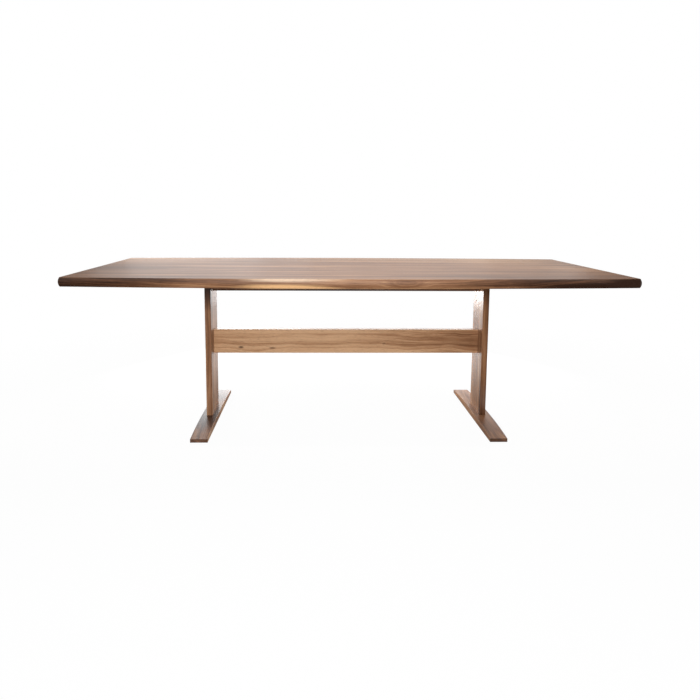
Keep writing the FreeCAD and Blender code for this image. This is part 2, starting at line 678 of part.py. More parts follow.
def make_screws():
    """Screws and washers under the top, and the screws of the upper rail."""
    made = []
    for end, way, turn, out in ENDS:
        screws = []
        washers = []
        for number, y in enumerate(BEARER_SCREWS, start=1):
            x = "%s * leg_spacing / 2" % way
            z = "top_underside - screw_web - washer_thickness"
            screws.append(place(screw("%s_top_screw_%d" % (end, number), "top_screw_length"), x, y, z))
            washers.append(place(washer("%s_top_washer_%d" % (end, number)), x, y, z))
        made.append(together("top_screws_" + end, screws))
        made.append(together("top_washers_" + end, washers))
    rail_screws = [place(screw("rail_screw_%d" % number, "rail_screw_length"),
                         x, "0", "top_underside - rail_screw_web")
                   for number, x in enumerate(RAIL_SCREWS, start=1)]
    made.append(together("rail_screws", rail_screws))
    return made


def make_pads():
    """Round floor pads, two under each foot."""
    made = []
    for end, way, turn, out in ENDS:
        pads = [rod("%s_%s_pad" % (end, word), "pad_diameter", "pad_thickness", "%s * leg_spacing / 2" % way,
                    "%s * (foot_length / 2 - pad_inset)" % side)
                for word, side in SIDES]
        made.append(together("floor_pads_" + end, pads))
    return made


# Build, check and write

def finish(nodes):
    """Recompute, refuse anything that failed, and write each node's shape under its own name."""
    doc.recompute()
    failed = [item.Name for item in doc.Objects if {"Invalid", "Error"} & set(item.State)]
    if failed:
        raise RuntimeError("failed objects: " + ", ".join(failed))
    os.makedirs("parts", exist_ok=True)
    for node in nodes:
        shape = node.Shape
        if shape.isNull() or not shape.isValid() or not shape.Solids:
            raise RuntimeError("bad shape: " + node.Label)
    for node in nodes:
        node.Shape.exportStep("parts/%s.step" % node.Label)
        print("%-24s %d solid(s) %12.1f mm3" % (node.Label, len(node.Shape.Solids), node.Shape.Volume))


finish(make_top() + make_feet() + make_legs() + [make_stretcher(), make_rail()]
       + make_fixings() + make_screws() + make_pads())
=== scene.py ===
"""A walnut dining table: seven boards on two trestle ends, held apart by a stretcher and a rail.

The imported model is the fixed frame. This script dresses each of its pieces in a finish made of
shader nodes, lights the table on a plain white floor and sets the camera. Lengths are metres, with
the table along X, its front towards -Y and the floor at Z = 0.
"""

import logging
import math
from dataclasses import dataclass, field, replace
from enum import Enum

import bmesh
import bpy
from mathutils import Euler, Matrix, Vector

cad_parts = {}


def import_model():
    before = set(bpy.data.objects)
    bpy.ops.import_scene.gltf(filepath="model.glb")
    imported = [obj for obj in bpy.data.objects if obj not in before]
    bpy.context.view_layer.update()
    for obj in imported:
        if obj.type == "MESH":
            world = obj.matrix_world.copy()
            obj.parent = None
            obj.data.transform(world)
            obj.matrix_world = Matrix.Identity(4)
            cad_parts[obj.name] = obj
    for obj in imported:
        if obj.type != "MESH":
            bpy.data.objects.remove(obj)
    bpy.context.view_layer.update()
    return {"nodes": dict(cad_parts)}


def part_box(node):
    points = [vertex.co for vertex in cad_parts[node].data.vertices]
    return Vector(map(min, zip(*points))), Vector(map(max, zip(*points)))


LOG = logging.getLogger("dining_table")

Thing = bpy.types.Object
Socket = bpy.types.NodeSocket
Pair = tuple[float, float]
Triple = tuple[float, float, float]
Colour = tuple[float, float, float, float]
Feed = Socket | float | tuple[float, ...]

WHITE: Colour = (1.0, 1.0, 1.0, 1.0)


def paint(red: int, green: int, blue: int) -> Colour:
    """Turn a colour as a paint card gives it, 0 to 255, into the light it sends back.

    Args:
        red: the red part.
        green: the green part.
        blue: the blue part.

    Returns:
        The colour for a shader, with full cover.
    """
    parts = (part / 255.0 for part in (red, green, blue))
    light = [p / 12.92 if p <= 0.04045 else ((p + 0.055) / 1.055) ** 2.4 for p in parts]
    return (light[0], light[1], light[2], 1.0)


class Grain(Enum):
    """Which way a piece's fibres run, as the turn that lays them along the log."""

    ALONG_THE_TABLE = (0.0, 0.0, 0.0)
    ACROSS_THE_TABLE = (0.0, 0.0, -math.pi / 2)
    UPRIGHT = (0.0, math.pi / 2, 0.0)


@dataclass(frozen=True)
class Mottle:
    """An uneven pattern: its spots in a metre on each axis, its finer layers, and how strong they are."""

    spots: Triple
    layers: float = 2.0
    grit: float = 0.5


class ShaderBench:
    """Adds the nodes of one material or world, and joins them."""

    def __init__(self, tree: bpy.types.NodeTree) -> None:
        """Start with an empty tree.

        Args:
            tree: the node tree to fill.
        """
        self.tree = tree
        self.tree.nodes.clear()

    def add(self, kind: str, feeds: dict[str | int, Feed] | None = None,
            **choices: object) -> bpy.types.Node:
        """Add a node, make its choices and feed its inputs.

        Args:
            kind: the node's type.
            feeds: an output or a plain value for each input, by name or number.
            choices: the node's own settings.

        Returns:
            The node.
        """
        node = self.tree.nodes.new(kind)
        for name, choice in choices.items():
            setattr(node, name, choice)
        for key, feed in (feeds or {}).items():
            if isinstance(feed, Socket):
                self.tree.links.new(feed, node.inputs[key])
            else:
                node.inputs[key].default_value = feed
        return node

    def sum(self, operation: str, first: Feed, second: Feed = 0.0, third: Feed = 0.0) -> Socket:
        """Work out one number.

        Args:
            operation: the Math node's operation.
            first: its first value.
            second: its second value.
            third: its third value.

        Returns:
            The answer.
        """
        feeds = {0: first, 1: second, 2: third}
        return self.add("ShaderNodeMath", feeds, operation=operation).outputs[0]

    def arrow(self, operation: str, first: Feed, second: Feed = (0.0, 0.0, 0.0)) -> Socket:
        """Work out one vector, or a number from vectors.

        Args:
            operation: the Vector Math node's operation.
            first: its first vector.
            second: its second vector.

        Returns:
            The answer, a number for a length or a product of two vectors.
        """
        node = self.add("ShaderNodeVectorMath", {0: first, 1: second}, operation=operation)
        return node.outputs["Value" if operation in ("LENGTH", "DOT_PRODUCT") else "Vector"]

    def reach(self, place: Feed, middle: tuple, sizes: tuple) -> Socket:
        """Measure how far a point is from a middle, in half sizes.

        Args:
            place: where the surface point lies.
            middle: the middle.
            sizes: the half sizes.

        Returns:
            0 in the middle and 1 at the edge.
        """
        away = self.arrow("SUBTRACT", place, middle)
        return self.arrow("LENGTH", self.arrow("MULTIPLY", away, tuple(1.0 / size for size in sizes)))

    def mottle(self, place: Feed, pattern: Mottle, part: str = "Fac") -> Socket:
        """Lay an uneven pattern over the surface.

        Args:
            place: where the surface point lies.
            pattern: the pattern.
            part: "Fac" for one value, "Color" for three.

        Returns:
            The pattern's value, 0.5 on the whole.
        """
        scaled = self.arrow("MULTIPLY", place, pattern.spots)
        feeds = {"Vector": scaled, "Scale": 1.0, "Detail": pattern.layers, "Roughness": pattern.grit}
        return self.add("ShaderNodeTexNoise", feeds, noise_dimensions="3D").outputs[part]

    def fit(self, value: Feed, low: float, high: float, to_low: float = 0.0, to_high: float = 1.0,
            soft: bool = False) -> Socket:
        """Carry a value from one range to another, and hold it there.

        Args:
            value: the value.
            low: the start of its range.
            high: the end of its range.
            to_low: what the start becomes.
            to_high: what the end becomes.
            soft: ease in and out between the two.

        Returns:
            The new value.
        """
        feeds = {"Value": value, "From Min": low, "From Max": high, "To Min": to_low, "To Max": to_high}
        easing = "SMOOTHSTEP" if soft else "LINEAR"
        return self.add("ShaderNodeMapRange", feeds, interpolation_type=easing).outputs["Result"]

    def blend(self, share: Feed, under: Feed, over: Feed, way: str = "MIX") -> Socket:
        """Lay one colour over another.

        Args:
            share: how much of the upper colour shows.
            under: the lower colour.
            over: the upper colour.
            way: how they mix.

        Returns:
            The mixed colour.
        """
        # Inputs 6 and 7 and output 2 are the Mix node's colour sockets.
        feeds = {0: share, 6: under, 7: over}
        return self.add("ShaderNodeMix", feeds, data_type="RGBA", blend_type=way).outputs[2]

    def colours(self, value: Feed, stops: tuple[tuple[float, Colour], ...]) -> Socket:
        """Turn a value into a colour by a row of stops.

        Args:
            value: the value, 0 to 1.
            stops: the places along the row and their colours.

        Returns:
            The colour.
        """
        node = self.add("ShaderNodeValToRGB", {0: value})
        row = node.color_ramp.elements
        while len(row) < len(stops):
            row.new(0.5)
        for element, (place, colour) in zip(row, stops):
            element.position = place
            element.color = colour
        return node.outputs["Color"]

    def shader(self, kind: str, feeds: dict[str | int, Feed] | None = None) -> Socket:
        """Add a shader.

        Args:
            kind: the node's type.
            feeds: an output or a plain value for each input, by name or number.

        Returns:
            Its output.
        """
        return self.add(kind, feeds).outputs[0]

    def layer(self, share: Feed, under: Socket, over: Socket) -> Socket:
        """Lay one shader over another.

        Args:
            share: how much of the upper shader shows.
            under: the lower shader.
            over: the upper shader.

        Returns:
            The mixed shader.
        """
        return self.shader("ShaderNodeMixShader", {0: share, 1: under, 2: over})

    def close(self, surface: Feed, output: str = "ShaderNodeOutputMaterial") -> None:
        """Hand the finished surface to the material, or to the world."""
        self.add(output, {"Surface": surface})


def blank_finish(name: str) -> tuple[bpy.types.Material, ShaderBench]:
    """Make a material without nodes.

    Args:
        name: the material's name.

    Returns:
        The material, and the bench that fills it.
    """
    material = bpy.data.materials.new(name)
    material.use_nodes = True
    return material, ShaderBench(material.node_tree)


def put_up(name: str, data: bpy.types.ID) -> Thing:
    """Add a thing to the scene.

    Args:
        name: its name.
        data: its mesh, light or camera.

    Returns:
        The thing.
    """
    thing = bpy.data.objects.new(name, data)
    bpy.context.scene.collection.objects.link(thing)
    return thing


@dataclass(frozen=True)
class Knot:
    """A knot, or a swirl where one lies just below.

    `heart` is how dark it is inside, and `swell` is how far the rings part round it.
    """

    place: Triple
    length: float
    width: float
    heart: float
    swell: float = 0.014


@dataclass(frozen=True)
class PaleWood:
    """Sapwood along the edge of a board: its middle, its half sizes, how clear it is, its colour."""

    place: Triple
    reach: Triple
    share: float
    colour: Colour


@dataclass(frozen=True)
class ToneAndPaintedLight:
    """A patch of a piece painted darker or paler: partly the wood's own tone and darker glued seams,
    partly painted light and shade, such as painted shadows, painted highlights, painted sheen and light
    falling off towards the table's ends.

    It lies round `place` in the frame, with the half sizes `reach`. The change is full in the middle and
    fades out over the last share, `fade`, of each half size.
    """

    place: Triple
    reach: Triple
    change: float
    fade: Triple = (1.0, 0.3, 0.3)

    def cover(self, bench: ShaderBench, spot: Feed) -> Socket:
        """Tell how much of the change a point gets.

        Args:
            bench: the material's nodes.
            spot: where the point lies in the frame.

        Returns:
            1 in the middle and 0 outside.
        """
        away = bench.arrow("ABSOLUTE", bench.arrow("SUBTRACT", spot, self.place))
        away = bench.arrow("MULTIPLY", away, tuple(1.0 / part for part in self.reach))
        parts = bench.add("ShaderNodeSeparateXYZ", {0: away}).outputs
        near = [bench.fit(parts[axis], 1.0, 1.0 - fade) for axis, fade in zip("XYZ", self.fade)]
        return bench.sum("MULTIPLY", bench.sum("MULTIPLY", near[0], near[1]), near[2])


@dataclass(frozen=True)
class Plank:
    """How one piece was cut from its log.

    The heart of the log lies at `heart` from the middle of the piece, across the grain. `start` says
    which length of the log it is. `tone` makes the whole piece paler or darker, `cool` takes red out of
    parts of it, `waver` is how far its fibres stray, and `rough` makes its finish duller. Its patches add
    wood tone and painted light and shade.
    """

    node: str
    grain: Grain
    heart: Pair
    start: float
    tone: float
    cool: float = 0.5
    waver: float = 0.006
    rough: float = 0.0
    knots: tuple[Knot, ...] = ()
    pale: tuple[PaleWood, ...] = ()
    tone_and_painted_light: tuple[ToneAndPaintedLight, ...] = ()


@dataclass(frozen=True)
class LogPlace:
    """Where a piece lies in its log: a surface point in the frame and in the log, and the way over."""

    spot: Socket
    place: Socket
    turn: Matrix
    shift: Vector

    def in_log(self, point: Triple) -> tuple:
        """Carry a point of the frame into the log."""
        return tuple(self.turn @ Vector(point) + self.shift)


@dataclass(frozen=True)
class SatinWalnut:
    """Walnut under a thin satin finish: rings cut through, pigment streaks, fibres, pores, soft arrises.

    Every pattern has the fibres along its first axis. A share says how far a layer moves the tone or how
    much of a colour shows, and a range says where in its pattern a feature starts and where it is full.
    """

    dark: Colour = paint(48, 27, 15)
    umber: Colour = paint(92, 60, 40)
    brown: Colour = paint(142, 100, 70)
    tan: Colour = paint(184, 140, 104)
    straw: Colour = paint(212, 170, 132)
    tone_steps: tuple[float, ...] = (0.06, 0.28, 0.5, 0.72, 0.95)
    cool_tint: Colour = paint(238, 246, 255)
    cool_parts: Mottle = Mottle((0.7, 9.0, 9.0))
    cool_range: Pair = (0.4, 0.65)

    wander: float = 0.045
    broad_sway: Mottle = Mottle((1.1, 2.5, 2.5), 2.0, 0.45)
    fine_sway: Mottle = Mottle((4.6, 9.0, 9.0), 2.0, 0.45)

    ring_width: float = 0.0062
    ring_waver: Mottle = Mottle((4.0, 40.0, 40.0))
    ring_stray: float = 1.3
    ring_share: float = 0.22
    year_groups: float = 0.45
    year_layers: float = 3.0
    year_grit: float = 0.7
    late_narrowness: float = 2.2
    late_share: float = 0.10

    streaks: Mottle = Mottle((0.55, 62.0, 62.0), 5.0, 0.62)
    streak_share: float = 0.36
    clouds: Mottle = Mottle((0.9, 22.0, 22.0))
    cloud_share: float = 0.22
    fibres: Mottle = Mottle((16.0, 620.0, 620.0), 2.0, 0.6)
    fibre_share: float = 0.12
    pores: Mottle = Mottle((42.0, 1150.0, 1150.0), 1.0)
    pore_range: Pair = (0.60, 0.72)
    pore_share: float = 0.45

    knot_heart: Colour = paint(34, 20, 13)
    knot_range: Pair = (0.9, 0.25)
    swell_range: Pair = (2.6, 0.0)
    sap_edge: Mottle = Mottle((3.0, 60.0, 60.0), 3.0, 0.6)
    sap_raggedness: float = 0.7
    sap_range: Pair = (1.1, 0.4)

    end_range: Pair = (0.55, 0.85)
    end_share: float = 0.26
    end_dullness: float = 0.28
    worn: Colour = paint(198, 158, 126)
    arris_reach: float = 0.0016
    arris_range: Pair = (0.995, 0.86)
    rubbing: Mottle = Mottle((30.0, 90.0, 90.0))
    rubbing_range: Pair = (0.3, 0.65)
    rubbing_share: Pair = (0.05, 0.28)

    roughness: float = 0.30
    fibre_dullness: float = 0.10
    ior: float = 1.5
    gloss: float = 0.5
    pore_depth: float = 0.8
    relief: float = 0.12
    relief_height: float = 0.0004

    def place_in_log(self, bench: ShaderBench, plank: Plank) -> LogPlace:
        """Lay the piece in its log, with the fibres along the first axis and the heart at zero.

        Args:
            bench: the material's nodes.
            plank: how the piece was cut.

        Returns:
            Where it lies.
        """
        low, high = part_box(plank.node)
        turn = Euler(plank.grain.value).to_matrix()
        shift = Vector((plank.start, -plank.heart[0], -plank.heart[1])) - turn @ ((low + high) / 2)
        spot = bench.add("ShaderNodeTexCoord").outputs["Object"]
        feeds = {"Vector": spot, "Location": tuple(shift), "Rotation": plank.grain.value}
        place = bench.add("ShaderNodeMapping", feeds, vector_type="POINT").outputs["Vector"]
        return LogPlace(spot, place, turn, shift)

    def bend(self, bench: ShaderBench, plank: Plank, at: LogPlace) -> tuple[Socket, list[Socket]]:
        """Let the fibres wander, waver and flow round the knots.

        Args:
            bench: the material's nodes.
            plank: how the piece was cut.
            at: where it lies in the log.

        Returns:
            The place with the bends in it, and how much each knot's heart covers.
        """
        bent = at.place
        for pattern, depth in ((self.broad_sway, self.wander), (self.fine_sway, plank.waver)):
            sway = bench.mottle(at.place, pattern, "Color")
            sway = bench.arrow("SUBTRACT", sway, (0.5, 0.5, 0.5))
            bent = bench.arrow("ADD", bent, bench.arrow("MULTIPLY", sway, (0.0, depth, depth)))
        covers = []
        for knot in plank.knots:
            reach = bench.reach(at.place, at.in_log(knot.place), (knot.length, knot.width, knot.width))
            swell = bench.fit(reach, *self.swell_range, 0.0, knot.swell, soft=True)
            swell = bench.add("ShaderNodeCombineXYZ", {"Y": swell, "Z": swell}).outputs[0]
            bent = bench.arrow("ADD", bent, swell)
            covers.append(bench.fit(reach, *self.knot_range, 0.0, knot.heart, soft=True))
        return bent, covers

    def rings(self, bench: ShaderBench, at: LogPlace, bent: Feed) -> tuple[Socket, Socket]:
        """Cut through the year rings.

        Args:
            bench: the material's nodes.
            at: where the piece lies in the log.
            bent: its place with the bends in it.

        Returns:
            How pale the years are, and how far into the late wood of its year a point is.
        """
        from_heart = bench.arrow("LENGTH", bench.arrow("MULTIPLY", bent, (0.0, 1.0, 1.0)))
        years = bench.sum("DIVIDE", from_heart, self.ring_width)
        years = bench.sum("MULTIPLY_ADD", bench.mottle(at.place, self.ring_waver), self.ring_stray, years)
        feeds = {"W": years, "Scale": self.year_groups, "Detail": self.year_layers,
                 "Roughness": self.year_grit}
        band = bench.add("ShaderNodeTexNoise", feeds, noise_dimensions="1D").outputs["Fac"]
        return band, bench.sum("POWER", bench.sum("FRACT", years), self.late_narrowness)

    def tone(self, bench: ShaderBench, plank: Plank, at: LogPlace, bent: Feed, fibre: Feed) -> Socket:
        """Add up how pale the wood is, from its rings, streaks, clouds and fibres, and from patches of
        wood tone and painted light and shade.

        Args:
            bench: the material's nodes.
            plank: how the piece was cut.
            at: where it lies in the log.
            bent: its place with the bends in it.
            fibre: the fine fibres.

        Returns:
            0 for the darkest wood and 1 for the palest.
        """
        band, late = self.rings(bench, at, bent)
        streak = bench.mottle(bent, self.streaks)
        cloud = bench.mottle(bent, self.clouds)
        value = bench.sum("MULTIPLY_ADD", late, -self.late_share, 0.5 + plank.tone)
        for layer, share in ((streak, self.streak_share), (cloud, self.cloud_share),
                             (band, self.ring_share), (fibre, self.fibre_share)):
            value = bench.sum("MULTIPLY_ADD", layer, share * 2.0, bench.sum("SUBTRACT", value, share))
        # Patches of wood tone and of painted light and shade.
        for shade in plank.tone_and_painted_light:
            value = bench.sum("MULTIPLY_ADD", shade.cover(bench, at.spot), shade.change, value)
        return value

    def colour(self, bench: ShaderBench, plank: Plank, at: LogPlace, value: Feed) -> Socket:
        """Turn the tone into the colour of the wood, with its cooler parts and its sapwood.

        Args:
            bench: the material's nodes.
            plank: how the piece was cut.
            at: where it lies in the log.
            value: the tone.

        Returns:
            The colour.
        """
        row = (self.dark, self.umber, self.brown, self.tan, self.straw)
        colour = bench.colours(value, tuple(zip(self.tone_steps, row)))
        cool = bench.mottle(at.place, self.cool_parts)
        cool = bench.fit(cool, *self.cool_range, 0.0, plank.cool, soft=True)
        colour = bench.blend(cool, colour, self.cool_tint, "MULTIPLY")
        for pale in plank.pale:
            sizes = tuple(abs(part) for part in at.turn @ Vector(pale.reach))
            reach = bench.reach(at.place, at.in_log(pale.place), sizes)
            reach = bench.sum("SUBTRACT", reach, self.sap_raggedness / 2)
            edge = bench.mottle(at.place, self.sap_edge)
            reach = bench.sum("MULTIPLY_ADD", edge, self.sap_raggedness, reach)
            share = bench.fit(reach, *self.sap_range, 0.0, pale.share, soft=True)
            colour = bench.blend(share, colour, pale.colour)
        return colour

    def cut_end(self, bench: ShaderBench, at: LogPlace, face: Feed) -> Socket:
        """Tell a piece's cut ends, where the fibres come out, from its sides.

        Args:
            bench: the material's nodes.
            at: where the piece lies in the log.
            face: which way the surface looks.

        Returns:
            1 on a cut end and 0 on a side.
        """
        fibre_way = at.turn.transposed() @ Vector((1.0, 0.0, 0.0))
        across = bench.sum("ABSOLUTE", bench.arrow("DOT_PRODUCT", face, tuple(fibre_way)))
        return bench.fit(across, *self.end_range, soft=True)

    def worn_arris(self, bench: ShaderBench, at: LogPlace, face: Feed, softened: Feed) -> Socket:
        """Find the arrises, where hands and cloths have rubbed the finish pale in places.

        Args:
            bench: the material's nodes.
            at: where the piece lies in the log.
            face: which way the surface looks.
            softened: the same with the arrises rounded.

        Returns:
            How much of the finish is gone.
        """
        arris = bench.fit(bench.arrow("DOT_PRODUCT", face, softened), *self.arris_range, soft=True)
        rubbed = bench.fit(bench.mottle(at.place, self.rubbing), *self.rubbing_range, *self.rubbing_share)
        return bench.sum("MULTIPLY", arris, rubbed)

    def make(self, plank: Plank) -> bpy.types.Material:
        """Make the material of one piece.

        Args:
            plank: how the piece was cut.

        Returns:
            The material.
        """
        material, bench = blank_finish("walnut_" + plank.node)
        at = self.place_in_log(bench, plank)
        bent, knots = self.bend(bench, plank, at)
        fibre = bench.mottle(at.place, self.fibres)
        pore = bench.fit(bench.mottle(at.place, self.pores), *self.pore_range, soft=True)
        colour = self.colour(bench, plank, at, self.tone(bench, plank, at, bent, fibre))
        colour = bench.blend(bench.sum("MULTIPLY", pore, self.pore_share), colour, self.dark)
        for cover in knots:
            colour = bench.blend(cover, colour, self.knot_heart)

        face = bench.add("ShaderNodeNewGeometry").outputs["Normal"]
        softened = bench.add("ShaderNodeBevel", {"Radius": self.arris_reach}, samples=6).outputs["Normal"]
        end = self.cut_end(bench, at, face)
        colour = bench.blend(bench.sum("MULTIPLY", end, self.end_share), colour, self.dark)
        colour = bench.blend(self.worn_arris(bench, at, face, softened), colour, self.worn)

        height = bench.sum("MULTIPLY_ADD", pore, -self.pore_depth, fibre)
        feeds = {"Height": height, "Normal": softened, "Strength": self.relief,
                 "Distance": self.relief_height}
        bump = bench.add("ShaderNodeBump", feeds).outputs["Normal"]
        even = self.roughness + plank.rough - self.fibre_dullness / 2
        rough = bench.sum("MULTIPLY_ADD", fibre, self.fibre_dullness, even)
        rough = bench.sum("MULTIPLY_ADD", end, self.end_dullness, rough)
        feeds = {"Base Color": colour, "Roughness": rough, "Normal": bump, "IOR": self.ior,
                 "Specular IOR Level": self.gloss}
        bench.close(bench.shader("ShaderNodeBsdfPrincipled", feeds))
        return material


@dataclass(frozen=True)
class TumbledMetal:
    """Bare or plated metal from the tumbler: a fine grit and a few dull patches."""

    name: str
    bright: Colour
    dull: Colour
    roughness: float
    patches: Mottle = Mottle((260.0, 260.0, 260.0), 3.0, 0.6)
    patch_range: Pair = (0.35, 0.7)
    patch_dullness: float = 0.22
    grit: Mottle = Mottle((2400.0, 2400.0, 2400.0))
    relief: float = 0.15
    relief_height: float = 0.0001

    def make(self) -> bpy.types.Material:
        """Make the metal's material.

        Returns:
            The material.
        """
        material, bench = blank_finish(self.name)
        place = bench.add("ShaderNodeTexCoord").outputs["Object"]
        patch = bench.mottle(place, self.patches)
        colour = bench.blend(bench.fit(patch, *self.patch_range), self.bright, self.dull)
        even = self.roughness - self.patch_dullness / 2
        rough = bench.sum("MULTIPLY_ADD", patch, self.patch_dullness, even)
        feeds = {"Height": bench.mottle(place, self.grit), "Strength": self.relief,
                 "Distance": self.relief_height}
        bump = bench.add("ShaderNodeBump", feeds).outputs["Normal"]
        feeds = {"Base Color": colour, "Metallic": 1.0, "Roughness": rough, "Normal": bump}
        bench.close(bench.shader("ShaderNodeBsdfPrincipled", feeds))
        return material


@dataclass(frozen=True)
class WoolFelt:
    """Pressed felt: a soft mottled brown with a matted nap."""

    name: str = "felt"
    light: Colour = paint(96, 82, 70)
    deep: Colour = paint(58, 48, 40)
    nap: Mottle = Mottle((900.0, 900.0, 900.0), 4.0, 0.7)
    nap_range: Pair = (0.35, 0.65)
    roughness: float = 0.95
    fuzz: float = 0.3
    relief: float = 0.6
    relief_height: float = 0.0004

    def make(self) -> bpy.types.Material:
        """Make the felt's material.

        Returns:
            The material.
        """
        material, bench = blank_finish(self.name)
        nap = bench.mottle(bench.add("ShaderNodeTexCoord").outputs["Object"], self.nap)
        colour = bench.blend(bench.fit(nap, *self.nap_range), self.deep, self.light)
        feeds = {"Height": nap, "Strength": self.relief, "Distance": self.relief_height}
        bump = bench.add("ShaderNodeBump", feeds).outputs["Normal"]
        feeds = {"Base Color": colour, "Roughness": self.roughness, "Normal": bump,
                 "Sheen Weight": self.fuzz}
        bench.close(bench.shader("ShaderNodeBsdfPrincipled", feeds))
        return material


def dress(node: Thing, material: bpy.types.Material) -> None:
    """Put a finish on every face of a piece.

    Args:
        node: the piece.
        material: its finish.
    """
    for slot in node.material_slots:
        slot.material = material
    LOG.info("%s: %s", node.name, material.name)


